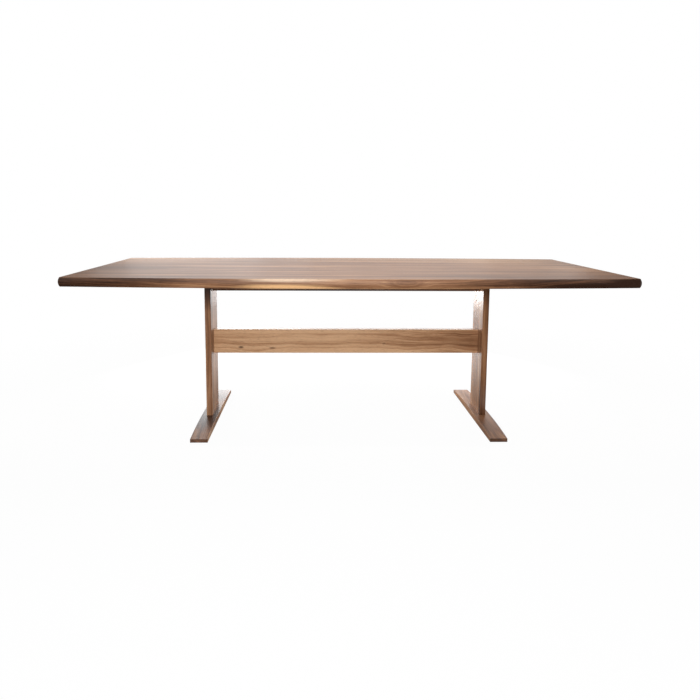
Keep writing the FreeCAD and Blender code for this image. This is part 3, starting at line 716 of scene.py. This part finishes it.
@dataclass
class TableTop:
    """The seven boards, front to back, each from another part of the log."""

    nodes: dict[str, Thing]
    wood: SatinWalnut = SatinWalnut(
        roughness=0.42, wander=0.025, streaks=Mottle((0.55, 34.0, 85.0), 5.0, 0.62), streak_share=0.34,
        clouds=Mottle((0.9, 16.0, 16.0)), cloud_share=0.30)
    seam_reach: float = 0.016
    seam_change: float = -0.20
    boards: tuple[Plank, ...] = field(default_factory=lambda: (
        Plank("top_board_1", Grain.ALONG_THE_TABLE, (0.05, -0.13), start=3.1, tone=-0.07, cool=0.1,
              knots=(Knot((0.879, -0.545, 0.735), 0.02, 0.007, 0.7),
                     Knot((0.215, -0.556, 0.730), 0.05, 0.012, 0.0, 0.03)),
              pale=(PaleWood((-0.29, -0.56, 0.747), (0.27, 0.03, 0.012), 0.85, paint(230, 202, 174)),
                    PaleWood((-0.29, -0.56, 0.714), (0.28, 0.03, 0.018), 0.95, paint(238, 188, 136))),
              # Painted shade: the front edge darkens towards its left end, where the light falls off.
              tone_and_painted_light=(ToneAndPaintedLight((-1.30, -0.56, 0.70), (0.72, 0.10, 0.05), -0.50, (1.0, 0.2, 0.03)),
                      ToneAndPaintedLight((-0.66, -0.56, 0.70), (0.24, 0.10, 0.05), 0.17, (1.0, 0.2, 0.03)),
                      ToneAndPaintedLight((-0.09, -0.56, 0.725), (0.10, 0.06, 0.022), 0.09, (0.6, 0.2, 0.3)),
                      ToneAndPaintedLight((0.32, -0.56, 0.725), (0.12, 0.06, 0.022), 0.07, (0.6, 0.2, 0.3)),
                      ToneAndPaintedLight((0.80, -0.45, 0.76), (0.42, 0.08, 0.0115), -0.06, (0.7, 0.2, 0.01)),
                      ToneAndPaintedLight((-0.78, -0.56, 0.711), (0.27, 0.06, 0.020), 0.15, (0.5, 0.2, 1.0)),
                      ToneAndPaintedLight((0.22, -0.56, 0.711), (0.37, 0.06, 0.022), 0.26, (0.5, 0.2, 1.0)),
                      ToneAndPaintedLight((0.20, -0.56, 0.738), (0.38, 0.06, 0.0115), -0.06, (0.5, 0.2, 0.6)),
                      ToneAndPaintedLight((0.64, -0.56, 0.70), (0.26, 0.10, 0.05), 0.19, (1.0, 0.2, 0.03)),
                      # Painted shade: the front edge darkens towards its right end, where the light falls
                      # off.
                      ToneAndPaintedLight((1.30, -0.56, 0.70), (1.18, 0.10, 0.05), -0.52, (1.0, 0.2, 0.03)),
                      ToneAndPaintedLight((0.0, -0.45, 0.76), (0.55, 0.60, 0.0115), 0.13, (1.0, 0.01, 0.1)))),
        Plank("top_board_2", Grain.ALONG_THE_TABLE, (-0.09, 0.16), start=7.4, tone=-0.05, cool=0.35,
              tone_and_painted_light=(ToneAndPaintedLight((0.20, -0.28, 0.75), (0.50, 0.2, 0.1), 0.03, (0.6, 0.1, 0.1)),
                      ToneAndPaintedLight((0.80, -0.28, 0.75), (0.36, 0.2, 0.1), 0.07, (0.6, 0.1, 0.1)),
                      ToneAndPaintedLight((1.15, -0.28, 0.75), (0.22, 0.2, 0.1), 0.10, (0.9, 0.1, 0.1)))),
        Plank("top_board_3", Grain.ALONG_THE_TABLE, (0.03, -0.22), start=11.9, tone=-0.03, cool=0.3,
              tone_and_painted_light=(ToneAndPaintedLight((-1.10, -0.15, 0.75), (0.40, 0.2, 0.1), -0.09, (1.0, 0.1, 0.1)),
                      ToneAndPaintedLight((0.10, -0.15, 0.75), (0.50, 0.2, 0.1), 0.03, (0.6, 0.1, 0.1)),
                      ToneAndPaintedLight((0.80, -0.15, 0.75), (0.30, 0.2, 0.1), 0.03, (0.8, 0.1, 0.1)),
                      ToneAndPaintedLight((1.15, -0.15, 0.75), (0.22, 0.2, 0.1), 0.16, (0.9, 0.1, 0.1)))),
        Plank("top_board_4", Grain.ALONG_THE_TABLE, (-0.02, 0.11), start=16.2, tone=-0.05, cool=0.3,
              tone_and_painted_light=(ToneAndPaintedLight((-1.10, 0.0, 0.75), (0.40, 0.2, 0.1), -0.09, (1.0, 0.1, 0.1)),
                      ToneAndPaintedLight((0.10, 0.0, 0.75), (0.50, 0.2, 0.1), 0.03, (0.6, 0.1, 0.1)),
                      ToneAndPaintedLight((0.88, 0.0, 0.75), (0.36, 0.2, 0.1), 0.10, (0.6, 0.1, 0.1)),
                      ToneAndPaintedLight((1.15, 0.0, 0.75), (0.35, 0.2, 0.1), 0.14, (0.9, 0.1, 0.1)))),
        Plank("top_board_5", Grain.ALONG_THE_TABLE, (0.12, -0.15), start=21.7, tone=-0.02, cool=0.25,
              tone_and_painted_light=(ToneAndPaintedLight((0.40, 0.2, 0.75), (0.90, 0.5, 0.1), 0.06, (0.5, 0.1, 0.1)),
                      ToneAndPaintedLight((0.88, 0.2, 0.75), (0.36, 0.2, 0.1), 0.12, (0.6, 0.1, 0.1)))),
        Plank("top_board_6", Grain.ALONG_THE_TABLE, (-0.06, -0.20), start=26.3, tone=0.02, cool=0.35,
              tone_and_painted_light=(ToneAndPaintedLight((-1.2, 0.45, 0.75), (0.8, 0.5, 0.1), 0.13),
                      ToneAndPaintedLight((0.4, 0.45, 0.75), (0.9, 0.5, 0.1), 0.09, (0.5, 0.1, 0.1)),
                      ToneAndPaintedLight((0.88, 0.45, 0.75), (0.36, 0.5, 0.1), 0.11, (0.6, 0.1, 0.1)))),
        Plank("top_board_7", Grain.ALONG_THE_TABLE, (0.08, 0.14), start=31.8, tone=0.03, cool=0.85,
              tone_and_painted_light=(ToneAndPaintedLight((-1.2, 0.45, 0.75), (0.8, 0.5, 0.1), 0.27),
                      ToneAndPaintedLight((0.4, 0.45, 0.75), (0.9, 0.5, 0.1), 0.10, (0.5, 0.1, 0.1)),
                      ToneAndPaintedLight((0.88, 0.45, 0.75), (0.36, 0.5, 0.1), 0.07, (0.6, 0.1, 0.1)))),
    ))

    def seams(self, plank: Plank) -> tuple[ToneAndPaintedLight, ...]:
        """Darken a board a little along the edges that are glued to its neighbours.

        Args:
            plank: the board.

        Returns:
            A shade along each glued edge.
        """
        low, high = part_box(plank.node)
        first, last = self.boards[0].node, self.boards[-1].node
        edges = [side.y for side, end in ((low, first), (high, last)) if plank.node != end]
        reach = (high.x, self.seam_reach, high.z - low.z)
        fade = (0.01, 1.0, 0.01)
        return tuple(ToneAndPaintedLight((0.0, edge, high.z), reach, self.seam_change, fade) for edge in edges)

    def build(self) -> None:
        """Dress each board."""
        for plank in self.boards:
            whole = replace(plank, tone_and_painted_light=plank.tone_and_painted_light + self.seams(plank))
            dress(self.nodes[plank.node], self.wood.make(whole))


@dataclass
class TrestleEnds:
    """The two ends: on each, a foot and a bearer across the table and a leg between them."""

    nodes: dict[str, Thing]
    wood: SatinWalnut = SatinWalnut(cloud_share=0.26)
    pieces: tuple[Plank, ...] = field(default_factory=lambda: (
        Plank("foot_left", Grain.ACROSS_THE_TABLE, (0.07, -0.09), start=41.3, tone=-0.08, cool=0.1,
              rough=0.02,
              # Painted shadow and reflection of the leg: the foot's top is darker just in front of it.
              tone_and_painted_light=(ToneAndPaintedLight((-0.667, -0.12, 0.03), (0.06, 0.20, 0.03), -0.32, (0.3, 0.8, 0.1)),
                      # Painted highlight: the foot's inner side face is paler, as if light caught it.
                      ToneAndPaintedLight((-0.6285, 0.0, 0.015), (0.002, 0.372, 0.0165), 0.40, (0.3, 0.01, 0.1)),
                      # Painted shade: the far end of the foot's top is darker, to dim the sheen mirrored
                      # there.
                      ToneAndPaintedLight((-0.667, 0.28, 0.03), (0.06, 0.16, 0.03), -0.26, (0.3, 0.5, 0.1)),
                      ToneAndPaintedLight((-0.667, -0.38, 0.015), (0.08, 0.006, 0.03), -0.12, (0.1, 0.5, 0.1)))),
        Plank("foot_right", Grain.ACROSS_THE_TABLE, (-0.05, 0.10), start=46.9, tone=0.02, cool=0.2,
              rough=0.14,
              # Painted shadow and reflection of the leg: the foot's top is darker in front of it.
              tone_and_painted_light=(ToneAndPaintedLight((0.667, -0.24, 0.03), (0.06, 0.16, 0.03), -0.12, (0.3, 0.8, 0.1)),
                      # Painted highlight: the foot's inner side face is a little paler, as if light
                      # caught it.
                      ToneAndPaintedLight((0.6285, 0.0, 0.015), (0.002, 0.372, 0.0165), 0.10, (0.3, 0.01, 0.1)),
                      ToneAndPaintedLight((0.667, -0.38, 0.015), (0.08, 0.006, 0.03), -0.26, (0.1, 0.5, 0.1)))),
        Plank("bearer_left", Grain.ACROSS_THE_TABLE, (0.10, 0.08), start=51.2, tone=-0.05),
        Plank("bearer_right", Grain.ACROSS_THE_TABLE, (-0.09, -0.10), start=56.8, tone=0.0),
        Plank("leg_left", Grain.UPRIGHT, (0.12, 0.06), start=61.5, tone=0.10, cool=0.1, rough=0.06,
              # Painted shadow: the top of the leg's front face is darker, where the table top shades it.
              tone_and_painted_light=(ToneAndPaintedLight((-0.667, -0.1, 0.72), (0.05, 0.03, 0.18), -0.43, (0.1, 0.3, 0.6)),
                      ToneAndPaintedLight((-0.667, -0.1, 0.38), (0.05, 0.03, 0.24), -0.08, (0.1, 0.3, 0.5)),
                      # Painted shade: the inner face is darker near the top, to dim the sheen mirrored
                      # there.
                      ToneAndPaintedLight((-0.6525, 0.0, 0.60), (0.004, 0.09, 0.12), -0.16, (0.1, 0.1, 0.6)))),
        Plank("leg_right", Grain.UPRIGHT, (-0.14, 0.05), start=66.1, tone=0.07, cool=0.2, rough=-0.10,
              # Painted shadow: the top of the leg's front face is darker, where the table top shades it.
              tone_and_painted_light=(ToneAndPaintedLight((0.667, -0.1, 0.72), (0.05, 0.03, 0.14), -0.16, (0.1, 0.3, 0.6)),
                      ToneAndPaintedLight((0.667, -0.1, 0.38), (0.05, 0.03, 0.30), -0.06, (0.1, 0.3, 0.3)),
                      ToneAndPaintedLight((0.667, -0.1, 0.0), (0.05, 0.03, 0.32), -0.34, (0.1, 0.3, 1.0)),
                      # Painted sheen: the inner face is paler near the top, where it mirrors the pale
                      # room.
                      ToneAndPaintedLight((0.6525, 0.0, 0.60), (0.004, 0.09, 0.12), 0.10, (0.1, 0.1, 0.6)))),
    ))

    def build(self) -> None:
        """Dress each piece of both ends."""
        for plank in self.pieces:
            dress(self.nodes[plank.node], self.wood.make(plank))


@dataclass
class Rails:
    """The stretcher between the legs and the rail under the top."""

    nodes: dict[str, Thing]
    wood: SatinWalnut = SatinWalnut(
        roughness=0.22, streaks=Mottle((0.55, 30.0, 30.0), 5.0, 0.62), streak_share=0.44,
        clouds=Mottle((0.9, 7.0, 7.0)), ring_share=0.34)
    pieces: tuple[Plank, ...] = field(default_factory=lambda: (
        Plank("stretcher", Grain.ALONG_THE_TABLE, (0.06, -0.10), start=71.4, tone=0.41, cool=0.1,
              waver=0.034,
              knots=(Knot((-0.52, -0.018, 0.352), 0.020, 0.009, 0.75, 0.012),
                     Knot((-0.365, -0.018, 0.348), 0.026, 0.006, 0.7, 0.008),
                     Knot((0.186, -0.018, 0.372), 0.014, 0.006, 0.45, 0.01),
                     Knot((0.56, -0.018, 0.400), 0.16, 0.022, 0.0, 0.03)),
              # Darker towards the right: partly wood tone, partly painted shade where less light reaches
              # it.
              tone_and_painted_light=(ToneAndPaintedLight((0.75, 0.0, 0.38), (0.75, 0.1, 0.1), -0.34, (1.0, 0.1, 0.1)),
                      ToneAndPaintedLight((-0.70, 0.0, 0.38), (0.40, 0.1, 0.1), -0.12, (1.0, 0.1, 0.1)),
                      ToneAndPaintedLight((0.10, 0.0, 0.322), (0.45, 0.1, 0.014), 0.14, (0.6, 0.1, 0.4)),
                      # Painted highlight: a paler band along the top of the front face and a paler top
                      # arris, where the light catches it.
                      ToneAndPaintedLight((-0.08, 0.0, 0.430), (0.66, 0.1, 0.012), 0.20, (0.6, 0.1, 0.7)),
                      ToneAndPaintedLight((0.0, 0.0, 0.4415), (0.66, 0.1, 0.004), 0.30, (0.01, 0.1, 0.5)))),
        Plank("upper_rail", Grain.ALONG_THE_TABLE, (-0.08, 0.12), start=76.9, tone=-0.05, cool=0.1),
    ))

    def build(self) -> None:
        """Dress the stretcher and the rail."""
        for plank in self.pieces:
            dress(self.nodes[plank.node], self.wood.make(plank))


@dataclass
class Fixings:
    """Bolts, inserts, screws and washers, and the pads that the feet stand on."""

    nodes: dict[str, Thing]
    steel: TumbledMetal = TumbledMetal("bolt_steel", paint(150, 150, 152), paint(112, 112, 116), 0.34)
    zinc: TumbledMetal = TumbledMetal("screw_steel", paint(184, 184, 186), paint(150, 148, 144), 0.30)
    brass: TumbledMetal = TumbledMetal("insert_brass", paint(206, 170, 102), paint(170, 134, 76), 0.32)
    felt: WoolFelt = WoolFelt()

    def build(self) -> None:
        """Dress every fixing by its kind."""
        plated = self.zinc.make()
        kinds = {"bolt": self.steel.make(), "insert": self.brass.make(), "screw": plated,
                 "washer": plated, "pad": self.felt.make()}
        for name, node in sorted(self.nodes.items()):
            for word, material in kinds.items():
                if f"_{word}" in name:
                    dress(node, material)


@dataclass(frozen=True)
class SoftLamp:
    """A square soft lamp: its place, what it faces, its size, its strength, and if it shines on wood."""

    name: str
    place: Triple
    aim: Triple
    width: float
    height: float
    power: float
    shines: bool = True

    def build(self) -> None:
        """Hang the lamp."""
        light = bpy.data.lights.new(self.name, "AREA")
        light.shape = "RECTANGLE"
        light.size = self.width
        light.size_y = self.height
        light.energy = self.power
        lamp = put_up(self.name, light)
        lamp.location = self.place
        way = Vector(self.aim) - Vector(self.place)
        lamp.rotation_euler = way.to_track_quat("-Z", "Y").to_euler()
        lamp.visible_camera = False
        lamp.visible_glossy = self.shines
        LOG.info("lamp: %s", lamp.name)


def panel_behind(name: str, x: float, z: float, width: float, height: float, power: float,
                 y: float = 3.6) -> SoftLamp:
    """Stand a lamp upright behind the table, where the wood mirrors it as a pale sheen.

    Args:
        name: its name.
        x: where its middle is along the table.
        z: how high its middle is.
        width: its width.
        height: its height.
        power: its strength.
        y: how far behind the table's middle it stands.

    Returns:
        The lamp, facing the front.
    """
    return SoftLamp(name, (x, y, z), (x, 0.0, z), width, height, power)


@dataclass(frozen=True)
class Cloth:
    """A dark cloth that the wood mirrors in place of the white room. It isn't seen and throws no shadow.

    `rows` holds its rows from one hem to the other, each by its left and right X, its Y and its Z. It
    covers by the share `cover` up to the first of the two Y places in `thins`, and is gone at the second.
    """

    name: str
    rows: tuple[tuple[float, float, float, float], ...]
    colour: Colour = paint(50, 48, 46)
    thins: Pair = (10.0, 11.0)
    cover: float = 1.0

    def build(self) -> None:
        """Hang the cloth."""
        mesh = bpy.data.meshes.new(self.name)
        points = [(x, y, z) for left, right, y, z in self.rows for x in (left, right)]
        strips = [(2 * row, 2 * row + 1, 2 * row + 3, 2 * row + 2) for row in range(len(self.rows) - 1)]
        mesh.from_pydata(points, [], strips)
        cloth = put_up(self.name, mesh)
        material, bench = blank_finish(self.name)
        place = bench.add("ShaderNodeSeparateXYZ", {0: bench.add("ShaderNodeTexCoord").outputs["Object"]})
        cover = bench.fit(place.outputs["Y"], *self.thins, self.cover, 0.0)
        clear = bench.shader("ShaderNodeBsdfTransparent")
        weave = bench.shader("ShaderNodeBsdfDiffuse", {"Color": self.colour})
        bench.close(bench.layer(cover, clear, weave))
        mesh.materials.append(material)
        cloth.visible_camera = False
        cloth.visible_shadow = False


@dataclass
class Studio:
    """A plain white floor, an even white room, soft lamps, and dark cloths in front, under and behind.

    `floor_mirrored` is how white the floor looks in a reflection. To the camera the floor is plain white
    but for the share `shadow_keep` of its own light and shadow, which it has in full out to the first
    distance in `shadow_reach` and no more at the second.
    """

    room_light: float = 0.42
    floor_radius: float = 9.0
    floor_sides: int = 96
    floor_colour: Colour = paint(242, 242, 242)
    floor_mirrored: float = 0.6
    shadow_keep: float = 0.03
    shadow_reach: Pair = (1.5, 3.2)
    cloths: tuple[Cloth, ...] = (
        Cloth("front_cloth",
              ((-4.5, 4.5, -0.42, 0.001), (-4.5, 4.5, -4.6, 0.001), (-4.5, 4.5, -4.6, 3.4)),
              thins=(-0.8, -0.42)),
        Cloth("under_cloth", ((-0.64, 0.64, -0.42, 0.001), (-0.64, 0.64, 1.35, 0.001)),
              thins=(0.2, 1.35), cover=0.8),
        Cloth("left_cloth", ((-6.0, -2.55, 3.7, 0.002), (-6.0, -2.55, 3.7, 2.6))),
        Cloth("right_cloth", ((2.78, 6.0, 3.7, 0.002), (2.78, 6.0, 3.7, 2.6))),
        Cloth("small_cloth", ((1.7, 2.4, 3.65, 1.0), (1.7, 2.4, 3.65, 1.36))),
    )
    lamps: tuple[SoftLamp, ...] = (
        SoftLamp("overhead", (-0.05, 0.15, 2.25), (-0.05, 0.1, 0.7), 1.4, 1.0, 22.0),
        SoftLamp("front_near", (-0.2, -2.3, 1.2), (-0.1, -0.5, 0.6), 1.6, 1.2, 13.5),
        SoftLamp("front_far", (-0.2, -3.6, 1.35), (-0.1, -0.3, 0.5), 1.2, 1.0, 62.0, shines=False),
        SoftLamp("front_sheen", (-0.05, -3.5, 1.2), (-0.15, -0.5, 0.7), 1.5, 2.2, 14.0),
        SoftLamp("low_left", (-1.15, 1.3, 0.36), (0.6, 0.0, 0.3), 0.5, 0.5, 26.0, shines=False),
        SoftLamp("low_right", (1.15, 1.3, 0.36), (-0.6, 0.0, 0.3), 0.5, 0.5, 24.0, shines=False),
        panel_behind("back_left", -1.45, 0.62, 1.4, 1.2, 15.9),
        panel_behind("back_left_inner", -0.5, 0.57, 0.5, 1.1, 3.8),
        panel_behind("back_middle", 0.0, 0.61, 0.5, 0.62, 2.0),
        panel_behind("back_low", -0.52, 0.24, 0.4, 0.42, 4.2, y=3.58),
        panel_behind("back_strip", -0.02, 0.683, 2.26, 0.125, 1.8, y=1.35),
        panel_behind("back_right_inner", 0.5, 0.445, 0.5, 0.85, 2.6),
        panel_behind("back_right", 1.45, 0.50, 1.4, 0.92, 4.9),
    )

    def build_room(self) -> None:
        """Light the room evenly, and show it white to the camera and in reflections."""
        world = bpy.data.worlds.new("white_room")
        bpy.context.scene.world = world
        world.use_nodes = True
        bench = ShaderBench(world.node_tree)
        path = bench.add("ShaderNodeLightPath").outputs
        seen = bench.sum("ADD", path["Is Camera Ray"], path["Is Glossy Ray"])
        seen = bench.sum("MINIMUM", bench.sum("ADD", seen, path["Is Transmission Ray"]), 1.0)
        light = bench.shader("ShaderNodeBackground", {"Color": WHITE, "Strength": self.room_light})
        white = bench.shader("ShaderNodeBackground", {"Color": WHITE, "Strength": 1.0})
        bench.close(bench.layer(seen, light, white), "ShaderNodeOutputWorld")

    def floor_finish(self) -> bpy.types.Material:
        """Make the floor's white, which keeps a faint shadow and can be looked through from below.

        Returns:
            The material.
        """
        material, bench = blank_finish("white_floor")
        away = bench.arrow("LENGTH", bench.add("ShaderNodeTexCoord").outputs["Object"])
        keep = bench.fit(away, *self.shadow_reach, self.shadow_keep, 0.0, soft=True)
        path = bench.add("ShaderNodeLightPath").outputs
        mirrored = bench.sum("ADD", path["Is Glossy Ray"], path["Is Transmission Ray"])
        mirrored = bench.sum("MULTIPLY", mirrored, self.floor_mirrored)
        seen = bench.sum("MULTIPLY", path["Is Camera Ray"], bench.sum("SUBTRACT", 1.0, keep))
        share = bench.sum("MINIMUM", bench.sum("ADD", seen, mirrored), 1.0)
        bare = bench.shader("ShaderNodeBsdfDiffuse", {"Color": self.floor_colour})
        white = bench.shader("ShaderNodeEmission", {"Color": WHITE, "Strength": 1.0})
        below = bench.add("ShaderNodeNewGeometry").outputs["Backfacing"]
        clear = bench.shader("ShaderNodeBsdfTransparent")
        bench.close(bench.layer(below, bench.layer(share, bare, white), clear))
        return material

    def build_floor(self) -> None:
        """Lay the round floor."""
        mesh = bpy.data.meshes.new("studio_floor")
        shape = bmesh.new()
        bmesh.ops.create_circle(shape, cap_ends=True, segments=self.floor_sides, radius=self.floor_radius)
        shape.to_mesh(mesh)
        shape.free()
        mesh.materials.append(self.floor_finish())
        put_up("studio_floor", mesh)

    def build(self) -> None:
        """Set up the room, the floor, the cloths and the lamps."""
        self.build_room()
        self.build_floor()
        for cloth in self.cloths:
            cloth.build()
        for lamp in self.lamps:
            lamp.build()


@dataclass(frozen=True)
class StudioCamera:
    """The camera in front of the table, a little left of the middle, and a little above the top."""

    place: Triple = (-0.14425, -3.04867, 1.03329)
    turn_right: float = 0.0206
    tip_down: float = 0.12393
    roll: float = 0.00523
    lens: float = 32.1636
    sensor: float = 36.0
    shift: Pair = (0.02823, -0.09107)
    clip: Pair = (0.05, 100.0)

    def build(self) -> None:
        """Set up the camera and make it the scene's own."""
        data = bpy.data.cameras.new("studio_camera")
        data.lens = self.lens
        data.sensor_width = self.sensor
        data.shift_x, data.shift_y = self.shift
        data.clip_start, data.clip_end = self.clip
        camera = put_up("studio_camera", data)
        turn = Matrix.Rotation(-self.turn_right, 4, "Z")
        tip = Matrix.Rotation(math.pi / 2 - self.tip_down, 4, "X")
        roll = Matrix.Rotation(self.roll, 4, "Z")
        camera.matrix_world = Matrix.Translation(self.place) @ turn @ tip @ roll
        bpy.context.scene.camera = camera


def main() -> None:
    """Load the frame, set up the studio and dress the table."""
    logging.basicConfig(level=logging.INFO, format="%(name)s: %(message)s")
    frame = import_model()
    nodes = frame["nodes"]
    StudioCamera().build()
    Studio().build()
    TableTop(nodes).build()
    TrestleEnds(nodes).build()
    Rails(nodes).build()
    Fixings(nodes).build()
    bpy.context.scene.view_settings.view_transform = "Standard"


if __name__ == "__main__":
    main()
